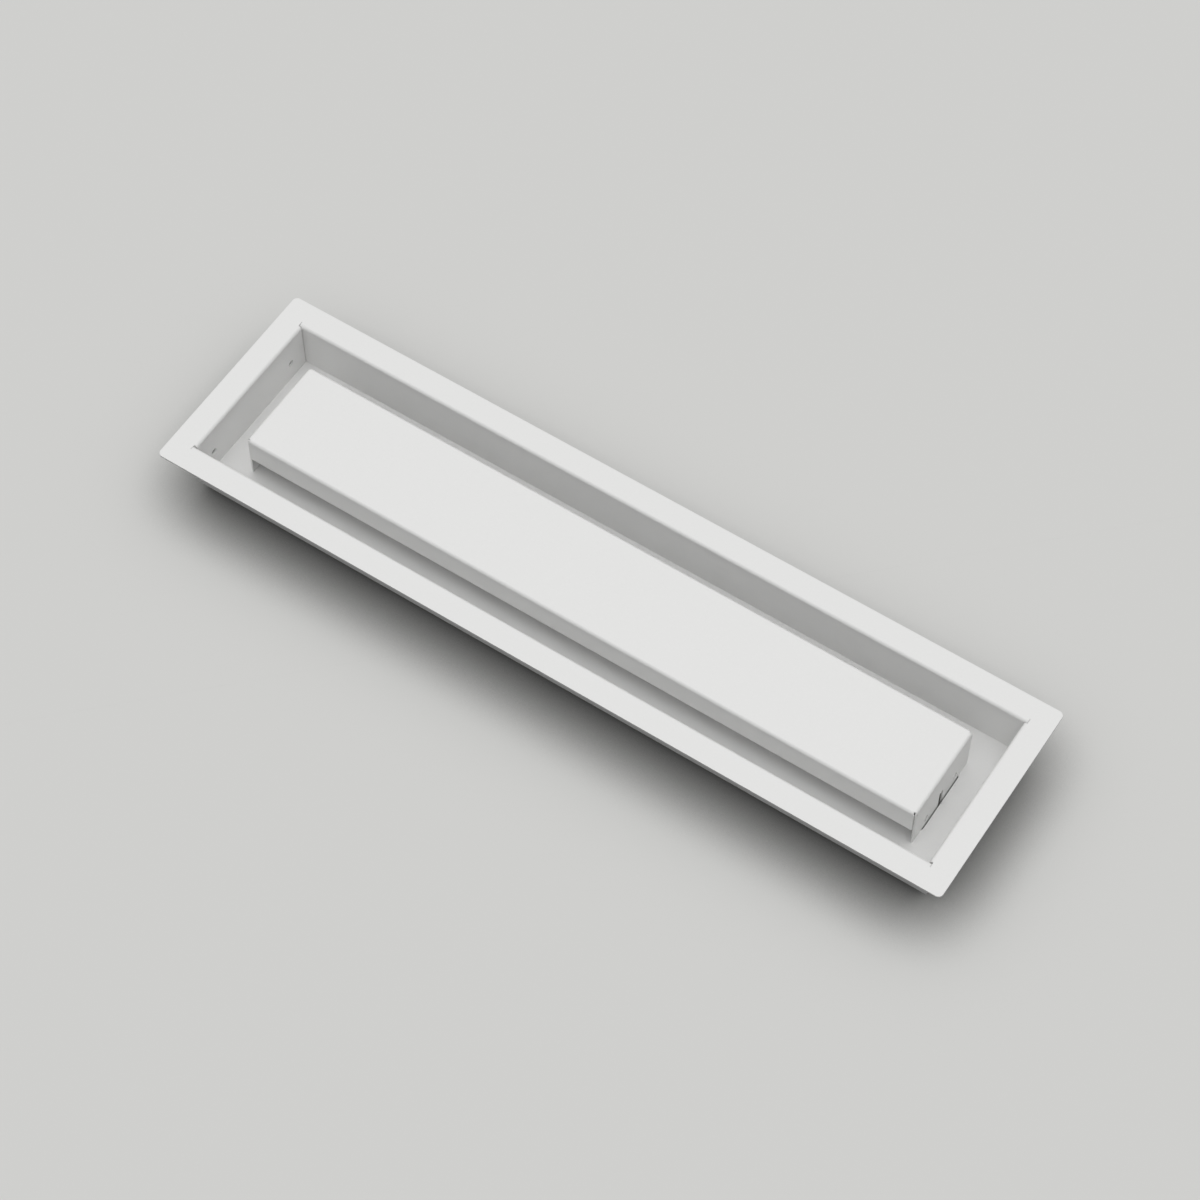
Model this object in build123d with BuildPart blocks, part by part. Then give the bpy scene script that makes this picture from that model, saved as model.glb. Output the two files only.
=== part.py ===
from build123d import *
import os

# Recessed wall vent cover, folded from 1 mm powder-coated steel sheet, in millimetres.
# It lies face up. X runs along its length, Y across it and +Z out of the wall.
# The origin is the middle of the base, level with the tips of the cover's tongues.
# A frame (a flange with four recess walls), a back plate with the air opening,
# and a bridge-shaped cover that stands over the opening and plugs into its ends.

# Sheet and bends
sheet = 1.0
bend_radius = 2.0  # show side of every bend

# Frame
frame_length = 500.0
frame_width = 130.0
flange_corner_radius = 3.0
flange_width = 15.5
wall_depth = 33.0  # from the flange's face to the back plate
wall_seam = 0.5  # gap between an end wall and the long walls beside it
kerf = 0.2  # width of the slits that free the long walls' bends at their ends
relief_depth = 0.8  # how far those slits run on into the flange

# Screw holes in the end walls
screw_hole_diameter = 4.2
screw_hole_spacing = 73.0
screw_hole_depth = 20.0  # from the flange's face

# Cover
air_gap = 19.5  # from the recess walls to the cover, all round
cover_setback = 1.0  # the cover's top lies this far below the flange's face
skirt_height = 17.5
cover_seam = 0.1  # how far skirts and cheeks stay back from the corner where they would meet
corner_notch = 1.6  # square cut from each corner of the cover's top, where two bends would cross

# Air opening in the back plate
opening_inset = 10.8  # from the skirts' outer faces to the air opening
opening_end_gap = 0.6  # between a cheek and the opening's end
opening_corner_radius = 0.5

# Cheek feet and the split tongues that reach down through the air opening
tongue_reach = 5.5  # below the back plate
tongue_side_clearance = 0.4
tongue_corner_radius = 2.0
slit_width = 4.0
slit_height = 12.3  # above the back plate
cheek_hole_diameter = 4.2
cheek_hole_spacing = 30.6
cheek_hole_height = 6.5  # above the back plate

# Sizes that follow from those above
recess_length = frame_length - 2 * flange_width
recess_width = frame_width - 2 * flange_width
long_wall_length = recess_length + 2 * (bend_radius - kerf)
end_wall_length = recess_width - 2 * wall_seam
cover_length = recess_length - 2 * air_gap
cover_width = recess_width - 2 * air_gap
opening_width = cover_width - 2 * opening_inset
plate_bottom = tongue_reach
plate_top = plate_bottom + sheet
flange_top = plate_top + wall_depth
opening_length = cover_length + 2 * opening_end_gap
cover_top = flange_top - cover_setback
skirt_bottom = cover_top - skirt_height
skirt_length = cover_length - 2 * (sheet + cover_seam)
cheek_width = cover_width - 2 * (sheet + cover_seam)
tongue_width = opening_width - 2 * tongue_side_clearance


def fold_section(face, away, top, foot):
    """Return the section of a wall that hangs from the edge of a plate by a bend.

    face is the wall's show side, away (+1 or -1) is the way from it into the sheet and on to the
    plate, top is the plate's front surface and foot is the wall's lower edge.
    """
    bend_line = face + away * bend_radius
    bend_bottom = top - bend_radius
    back = face + away * sheet
    with BuildSketch() as section:
        with BuildLine():
            TangentArc((bend_line, top), (face, bend_bottom), tangent=(-away, 0))
            Polyline((face, bend_bottom), (face, foot), (back, foot), (back, bend_bottom))
            TangentArc((back, bend_bottom), (bend_line, top - sheet), tangent=(0, 1))
            Line((bend_line, top - sheet), (bend_line, top))
        make_face()
    return section.sketch


# Frame: the flange ring, with a wall folded down from each side of its window
with BuildPart() as frame:
    with BuildSketch(Plane.XY.offset(flange_top - sheet)):
        RectangleRounded(frame_length, frame_width, flange_corner_radius)
        Rectangle(
            recess_length + 2 * bend_radius,
            recess_width + 2 * bend_radius,
            mode=Mode.SUBTRACT,
        )
    extrude(amount=sheet)

    with BuildSketch(Plane.YZ):
        add(fold_section(recess_width / 2, 1, flange_top, plate_top))
        add(fold_section(-recess_width / 2, -1, flange_top, plate_top))
    extrude(amount=long_wall_length / 2, both=True)

    with BuildSketch(Plane.XZ):
        add(fold_section(recess_length / 2, 1, flange_top, plate_top))
        add(fold_section(-recess_length / 2, -1, flange_top, plate_top))
    extrude(amount=end_wall_length / 2, both=True)

    # Slits free the ends of the long walls' bends
    slit_length = wall_seam + bend_radius + relief_depth
    with BuildSketch(Plane.XY.offset(flange_top)):
        with GridLocations(long_wall_length + kerf, end_wall_length + slit_length, 2, 2):
            Rectangle(kerf, slit_length)
    extrude(amount=-bend_radius, mode=Mode.SUBTRACT)

    # Screw holes through both end walls
    with BuildSketch(Plane.YZ):
        for side in (-1, 1):
            with Locations((side * screw_hole_spacing / 2, flange_top - screw_hole_depth)):
                Circle(screw_hole_diameter / 2)
    extrude(amount=frame_length / 2, both=True, mode=Mode.SUBTRACT)
frame.part.label = "frame"

# Back plate: closes the recess behind the walls and holds the air opening
with BuildPart() as back_plate:
    with BuildSketch(Plane.XY.offset(plate_bottom)):
        Rectangle(long_wall_length, recess_width + 2 * sheet)
        RectangleRounded(
            opening_length,
            opening_width,
            opening_corner_radius,
            mode=Mode.SUBTRACT,
        )
    extrude(amount=sheet)
back_plate.part.label = "back_plate"

# Cover: a bridge folded from one sheet, with a skirt on each long side and a cheek at each end
with BuildPart() as cover:
    with BuildSketch(Plane.XY.offset(cover_top - sheet)):
        Rectangle(cover_length - 2 * bend_radius, cover_width - 2 * bend_radius)
    extrude(amount=sheet)

    with BuildSketch(Plane.YZ):
        add(fold_section(cover_width / 2, -1, cover_top, skirt_bottom))
        add(fold_section(-cover_width / 2, 1, cover_top, skirt_bottom))
    extrude(amount=skirt_length / 2, both=True)

    with BuildSketch(Plane.XZ):
        add(fold_section(cover_length / 2, -1, cover_top, plate_top))
        add(fold_section(-cover_length / 2, 1, cover_top, plate_top))
    extrude(amount=cheek_width / 2, both=True)

    # A small square notch at each corner of the top parts the skirt's bend from the cheek's bend
    with BuildSketch(Plane.XY.offset(cover_top)):
        with GridLocations(cover_length - corner_notch, cover_width - corner_notch, 2, 2):
            Rectangle(corner_notch, corner_notch)
    extrude(amount=-bend_radius, mode=Mode.SUBTRACT)

    # The middle of each cheek runs on down as a tongue
    for end in (-1, 1):
        with BuildSketch(Plane.YZ.offset(end * cover_length / 2)) as tongue:
            Rectangle(tongue_width, plate_top, align=(Align.CENTER, Align.MIN))
            fillet(tongue.vertices().group_by(Axis.Y)[0], tongue_corner_radius)
        extrude(amount=-end * sheet)

    # A slit splits each tongue into two prongs, with a round hole beside it in each
    with BuildSketch(Plane.YZ):
        slit_top = plate_top + slit_height
        tongue_slit_length = slit_top + slit_width
        with Locations((0, slit_top - tongue_slit_length / 2)):
            SlotOverall(tongue_slit_length, slit_width, rotation=90)
        for side in (-1, 1):
            with Locations((side * cheek_hole_spacing / 2, plate_top + cheek_hole_height)):
                Circle(cheek_hole_diameter / 2)
    extrude(amount=cover_length / 2, both=True, mode=Mode.SUBTRACT)
cover.part.label = "cover"

os.makedirs("parts", exist_ok=True)
export_step(frame.part, "parts/frame.step")
export_step(back_plate.part, "parts/back_plate.step")
export_step(cover.part, "parts/cover.step")
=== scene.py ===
"""Looks of the recessed wall vent cover: white powder coat on folded steel, in a plain studio."""

import math

import bpy
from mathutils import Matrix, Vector


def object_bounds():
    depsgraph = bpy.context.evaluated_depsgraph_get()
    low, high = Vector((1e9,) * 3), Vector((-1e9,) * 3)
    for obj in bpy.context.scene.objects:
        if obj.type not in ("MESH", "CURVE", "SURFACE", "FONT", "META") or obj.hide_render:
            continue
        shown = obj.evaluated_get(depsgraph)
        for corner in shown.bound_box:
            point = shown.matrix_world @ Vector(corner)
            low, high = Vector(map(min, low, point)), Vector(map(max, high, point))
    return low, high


bl_info = {
    "name": "Recessed Wall Vent Cover",
    "version": (1, 0, 0),
    "blender": (4, 5, 0),
    "location": "View3D > Sidebar > Vent Cover",
    "description": "Finishes the folded sheet pieces of a recessed wall vent cover and sets a plain studio",
    "category": "Object",
}

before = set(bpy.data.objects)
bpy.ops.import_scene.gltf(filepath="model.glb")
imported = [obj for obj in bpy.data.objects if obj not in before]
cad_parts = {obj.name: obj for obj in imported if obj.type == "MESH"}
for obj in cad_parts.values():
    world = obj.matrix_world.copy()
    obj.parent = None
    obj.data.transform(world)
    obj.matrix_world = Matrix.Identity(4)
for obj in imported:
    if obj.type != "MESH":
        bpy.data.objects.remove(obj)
cad_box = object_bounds()

MM = 0.001
NOISE_RANGE = {"From Min": 0.3, "From Max": 0.7}  # where nearly all of a noise texture's values lie
POLYESTER_IOR = 1.5
FLOOR_REACH = 20.0  # metres from the middle to the floor's edges


def linear(hex_colour):
    """Turn an sRGB hex colour such as "e6e6e4" into the linear RGBA that shaders take."""
    channels = [int(hex_colour[i : i + 2], 16) / 255 for i in (0, 2, 4)]
    return (*[c / 12.92 if c <= 0.04045 else ((c + 0.055) / 1.055) ** 2.4 for c in channels], 1.0)


class PowderCoatSettings(bpy.types.PropertyGroup):
    """The white powder coat of all three sheet pieces."""

    colour: bpy.props.FloatVectorProperty(
        name="Colour",
        description="Colour of the cured coat",
        subtype="COLOR",
        size=4,
        min=0.0,
        max=1.0,
        default=linear("e9e9e8"),
    )
    roughness: bpy.props.FloatProperty(
        name="Roughness",
        description="How matt the coat is",
        subtype="FACTOR",
        min=0.0,
        max=1.0,
        default=0.48,
    )
    roughness_spread: bpy.props.FloatProperty(
        name="Roughness spread",
        description="How much rougher the hollows of the coat are, and smoother its crests",
        subtype="FACTOR",
        min=0.0,
        max=0.5,
        default=0.04,
    )
    peel_spacing: bpy.props.FloatProperty(
        name="Orange peel spacing",
        description="Distance between the shallow waves that the coat flows into",
        subtype="DISTANCE",
        unit="LENGTH",
        default=2.4 * MM,
    )
    peel_height: bpy.props.FloatProperty(
        name="Orange peel height",
        description="Height of those waves",
        subtype="DISTANCE",
        unit="LENGTH",
        default=0.02 * MM,
    )
    grain_spacing: bpy.props.FloatProperty(
        name="Grain spacing",
        description="Distance between the grains of the coat's fine texture",
        subtype="DISTANCE",
        unit="LENGTH",
        default=1.1 * MM,
    )
    grain_height: bpy.props.FloatProperty(
        name="Grain height",
        description="Height of those grains",
        subtype="DISTANCE",
        unit="LENGTH",
        default=0.035 * MM,
    )
    thin_film_tone: bpy.props.FloatProperty(
        name="Thin film tone",
        description="Brightness of the coat between its grains, against the rest",
        subtype="FACTOR",
        min=0.0,
        max=1.0,
        default=0.985,
    )
    edge_radius: bpy.props.FloatProperty(
        name="Edge radius",
        description="Rounding that the coat gives to the cut edges of the sheet",
        subtype="DISTANCE",
        unit="LENGTH",
        default=0.2 * MM,
    )


class StudioSettings(bpy.types.PropertyGroup):
    """Camera, light and floor."""

    azimuth: bpy.props.FloatProperty(
        name="Azimuth",
        description="Heading of the view, turned from +Y towards -X",
        subtype="ANGLE",
        unit="ROTATION",
        default=math.radians(33.30),
    )
    elevation: bpy.props.FloatProperty(
        name="Elevation",
        description="Height of the camera above the horizon",
        subtype="ANGLE",
        unit="ROTATION",
        default=math.radians(58.0),
    )
    distance: bpy.props.FloatProperty(
        name="Distance",
        description="From the camera to the middle of the vent cover",
        subtype="DISTANCE",
        unit="LENGTH",
        default=1.8146,
    )
    lens: bpy.props.FloatProperty(
        name="Lens",
        description="Focal length in millimetres",
        subtype="DISTANCE_CAMERA",
        unit="CAMERA",
        default=100.0,
    )
    dome_strength: bpy.props.FloatProperty(
        name="Dome strength",
        description="Brightness of the light dome at its top, from where it fades to the horizon",
        min=0.0,
        default=1.9,
    )
    floor_colour: bpy.props.FloatVectorProperty(
        name="Floor colour",
        description="Colour of the studio floor",
        subtype="COLOR",
        size=4,
        min=0.0,
        max=1.0,
        default=linear("d4d4d2"),
    )
    # Painted shadow: within this distance of a thing, ambient occlusion darkens the floor's colour
    painted_contact_shadow: bpy.props.FloatProperty(
        name="Contact shadow",
        description="How near a thing has to be to darken the floor beneath it",
        subtype="DISTANCE",
        unit="LENGTH",
        default=45 * MM,
    )
    floor_bounce: bpy.props.FloatVectorProperty(
        name="Floor bounce",
        description="Colour that the floor throws back on the object",
        subtype="COLOR",
        size=4,
        min=0.0,
        max=1.0,
        default=linear("5a5a59"),
    )


def add_node(owner, kind, settings=None, inputs=None):
    """Add a shader node. An input, named or numbered, is a value or a socket to link to it."""
    tree = owner.node_tree
    made = tree.nodes.new(kind)
    for name, value in (settings or {}).items():
        setattr(made, name, value)
    for name, value in (inputs or {}).items():
        if isinstance(value, bpy.types.NodeSocket):
            tree.links.new(value, made.inputs[name])
        else:
            made.inputs[name].default_value = value
    return made


def empty_material(name):
    """Return a new node material with no nodes in it."""
    material = bpy.data.materials.new(name)
    material.use_nodes = True
    material.node_tree.nodes.clear()
    return material


def powder_coat(name, settings, shift):
    """White polyester powder coat, sprayed dry and baked on the steel.

    The melt flows out into faint waves with a finer grain on them, so light lies on it softly and
    a little unevenly, and cut edges come out rounded. The real grain lies about 0.4 mm apart and
    is drawn coarser, so that it shows. shift moves the pattern, piece by piece.
    """
    coat = empty_material(name)
    place = add_node(coat, "ShaderNodeTexCoord")
    moved = add_node(
        coat, "ShaderNodeMapping", inputs={"Vector": place.outputs["Object"], "Location": shift}
    )
    peel = add_node(
        coat,
        "ShaderNodeTexNoise",
        inputs={"Vector": moved.outputs[0], "Scale": 1 / settings.peel_spacing, "Detail": 1.0},
    )
    grain = add_node(
        coat,
        "ShaderNodeTexNoise",
        inputs={"Vector": moved.outputs[0], "Scale": 1 / settings.grain_spacing, "Detail": 2.0},
    )
    edge = add_node(coat, "ShaderNodeBevel", {"samples": 4}, {"Radius": settings.edge_radius})
    waves = add_node(
        coat,
        "ShaderNodeBump",
        inputs={
            "Height": peel.outputs[0],
            "Distance": settings.peel_height,
            "Normal": edge.outputs[0],
        },
    )
    surface = add_node(
        coat,
        "ShaderNodeBump",
        inputs={
            "Height": grain.outputs[0],
            "Distance": settings.grain_height,
            "Normal": waves.outputs[0],
        },
    )
    # The film is a little thinner between the grains, and a shade greyer there
    film = add_node(
        coat,
        "ShaderNodeMapRange",
        inputs={"Value": grain.outputs[0], **NOISE_RANGE},
    )
    thin_film = [channel * settings.thin_film_tone for channel in settings.colour[:3]] + [1.0]
    tone = add_node(
        coat,
        "ShaderNodeMix",
        {"data_type": "RGBA"},
        {"Factor": film.outputs[0], 6: thin_film, 7: settings.colour},
    )
    # The waves' crests flow out smoother than the hollows between them
    gloss = add_node(
        coat,
        "ShaderNodeMapRange",
        inputs={
            "Value": peel.outputs[0],
            **NOISE_RANGE,
            "To Min": settings.roughness + settings.roughness_spread,
            "To Max": settings.roughness - settings.roughness_spread,
        },
    )
    shader = add_node(
        coat,
        "ShaderNodeBsdfPrincipled",
        inputs={
            "Base Color": tone.outputs[2],
            "Roughness": gloss.outputs[0],
            "Normal": surface.outputs[0],
            "IOR": POLYESTER_IOR,
        },
    )
    add_node(coat, "ShaderNodeOutputMaterial", inputs={"Surface": shader.outputs[0]})
    return coat


def finish_sheet(node_name, shift):
    """Coat one CAD piece all over."""
    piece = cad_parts[node_name]
    settings = bpy.context.scene.vent_powder_coat
    piece.data.materials.clear()
    piece.data.materials.append(powder_coat("powder_coat_" + node_name, settings, shift))


class VENT_OT_finish_frame(bpy.types.Operator):
    """Coat the flange and its recess walls"""

    bl_idname = "vent.finish_frame"
    bl_label = "Finish Frame"

    def execute(self, context):
        finish_sheet("frame", (0.0, 0.0, 0.0))
        return {"FINISHED"}


class VENT_OT_finish_back_plate(bpy.types.Operator):
    """Coat the plate behind the walls"""

    bl_idname = "vent.finish_back_plate"
    bl_label = "Finish Back Plate"

    def execute(self, context):
        finish_sheet("back_plate", (0.31, 0.17, 0.0))
        return {"FINISHED"}


class VENT_OT_finish_cover(bpy.types.Operator):
    """Coat the cover that stands over the air opening"""

    bl_idname = "vent.finish_cover"
    bl_label = "Finish Cover"

    def execute(self, context):
        finish_sheet("cover", (0.0, 0.43, 0.29))
        return {"FINISHED"}


def seen_directly(owner):
    """Return a socket that is 1 for rays of the camera and of reflections, and 0 for light."""
    ray = add_node(owner, "ShaderNodeLightPath")
    mirrored = add_node(
        owner,
        "ShaderNodeMath",
        {"operation": "MAXIMUM"},
        {0: ray.outputs["Is Glossy Ray"], 1: ray.outputs["Is Transmission Ray"]},
    )
    seen = add_node(
        owner,
        "ShaderNodeMath",
        {"operation": "MAXIMUM"},
        {0: ray.outputs["Is Camera Ray"], 1: mirrored.outputs[0]},
    )
    return seen.outputs[0]


def studio_floor(settings):
    """Matt paper, pale to the eye, that throws little light back up. Near the object its colour is darkened
    by ambient occlusion: a painted shadow on top of the real one.
    """
    paper = empty_material("matt_studio_paper")
    # Painted shadow: ambient occlusion darkens the floor's colour near the object, on top of its real
    # shadow
    painted_shadow = add_node(
        paper,
        "ShaderNodeAmbientOcclusion",
        {"samples": 8},
        {"Color": settings.floor_colour, "Distance": settings.painted_contact_shadow},
    )
    colour = add_node(
        paper,
        "ShaderNodeMix",
        {"data_type": "RGBA"},
        {"Factor": seen_directly(paper), 6: settings.floor_bounce, 7: painted_shadow.outputs["Color"]},
    )
    shader = add_node(paper, "ShaderNodeBsdfDiffuse", inputs={"Color": colour.outputs[2]})
    add_node(paper, "ShaderNodeOutputMaterial", inputs={"Surface": shader.outputs[0]})

    mesh = bpy.data.meshes.new("studio_floor")
    sides = ((-1, -1), (1, -1), (1, 1), (-1, 1))
    corners = [(x * FLOOR_REACH, y * FLOOR_REACH, 0) for x, y in sides]
    mesh.from_pydata(corners, [], [(0, 1, 2, 3)])
    floor = bpy.data.objects.new("studio_floor", mesh)
    floor.data.materials.append(paper)
    bpy.context.scene.collection.objects.link(floor)


def studio_dome(settings):
    """A soft dome of light, brightest overhead, that looks as pale as the floor."""
    world = bpy.data.worlds.new("studio_dome")
    world.use_nodes = True
    world.node_tree.nodes.clear()
    heading = add_node(world, "ShaderNodeTexCoord")
    axes = add_node(world, "ShaderNodeSeparateXYZ", inputs={0: heading.outputs["Generated"]})
    fade = add_node(
        world,
        "ShaderNodeMath",
        {"operation": "MULTIPLY"},
        {0: axes.outputs["Z"], 1: axes.outputs["Z"]},
    )
    strength = add_node(
        world,
        "ShaderNodeMath",
        {"operation": "MULTIPLY"},
        {0: fade.outputs[0], 1: settings.dome_strength},
    )
    light = add_node(
        world,
        "ShaderNodeBackground",
        inputs={"Color": linear("ffffff"), "Strength": strength.outputs[0]},
    )
    pale = add_node(
        world,
        "ShaderNodeBackground",
        inputs={"Color": settings.floor_colour, "Strength": 1.0},
    )
    sky = add_node(
        world,
        "ShaderNodeMixShader",
        inputs={"Fac": seen_directly(world), 1: light.outputs[0], 2: pale.outputs[0]},
    )
    add_node(world, "ShaderNodeOutputWorld", inputs={"Surface": sky.outputs[0]})
    bpy.context.scene.world = world


def studio_camera(settings):
    """The photograph's view of the middle of the object."""
    lens = bpy.data.cameras.new("camera")
    lens.lens = settings.lens
    lens.clip_end = 2 * FLOOR_REACH
    camera = bpy.data.objects.new("camera", lens)
    flat = math.cos(settings.elevation)
    back = Vector(
        (
            math.sin(settings.azimuth) * flat,
            -math.cos(settings.azimuth) * flat,
            math.sin(settings.elevation),
        )
    )
    low, high = cad_box
    camera.location = (low + high) / 2 + back * settings.distance
    camera.rotation_mode = "QUATERNION"
    camera.rotation_quaternion = (-back).to_track_quat("-Z", "Y")
    bpy.context.scene.collection.objects.link(camera)
    bpy.context.scene.camera = camera


class VENT_OT_set_stage(bpy.types.Operator):
    """Set the floor, the light dome and the camera"""

    bl_idname = "vent.set_stage"
    bl_label = "Set Stage"

    def execute(self, context):
        settings = context.scene.vent_studio
        studio_floor(settings)
        studio_dome(settings)
        studio_camera(settings)
        context.scene.view_settings.view_transform = "Standard"
        return {"FINISHED"}


class VENT_PT_panel(bpy.types.Panel):
    """Settings and steps, in the order in which they run"""

    bl_label = "Vent Cover"
    bl_idname = "VENT_PT_panel"
    bl_space_type = "VIEW_3D"
    bl_region_type = "UI"
    bl_category = "Vent Cover"

    def draw(self, context):
        for settings in (context.scene.vent_powder_coat, context.scene.vent_studio):
            box = self.layout.box()
            for name in settings.__annotations__:
                box.prop(settings, name)
        for step in STEPS:
            self.layout.operator(step.bl_idname)


STEPS = (
    VENT_OT_finish_frame,
    VENT_OT_finish_back_plate,
    VENT_OT_finish_cover,
    VENT_OT_set_stage,
)
CLASSES = (PowderCoatSettings, StudioSettings, *STEPS, VENT_PT_panel)


def register():
    for cls in CLASSES:
        bpy.utils.register_class(cls)
    bpy.types.Scene.vent_powder_coat = bpy.props.PointerProperty(type=PowderCoatSettings)
    bpy.types.Scene.vent_studio = bpy.props.PointerProperty(type=StudioSettings)


def unregister():
    del bpy.types.Scene.vent_studio
    del bpy.types.Scene.vent_powder_coat
    for cls in reversed(CLASSES):
        bpy.utils.unregister_class(cls)


def main():
    register()
    bpy.ops.vent.finish_frame()
    bpy.ops.vent.finish_back_plate()
    bpy.ops.vent.finish_cover()
    bpy.ops.vent.set_stage()


if __name__ == "__main__":
    main()
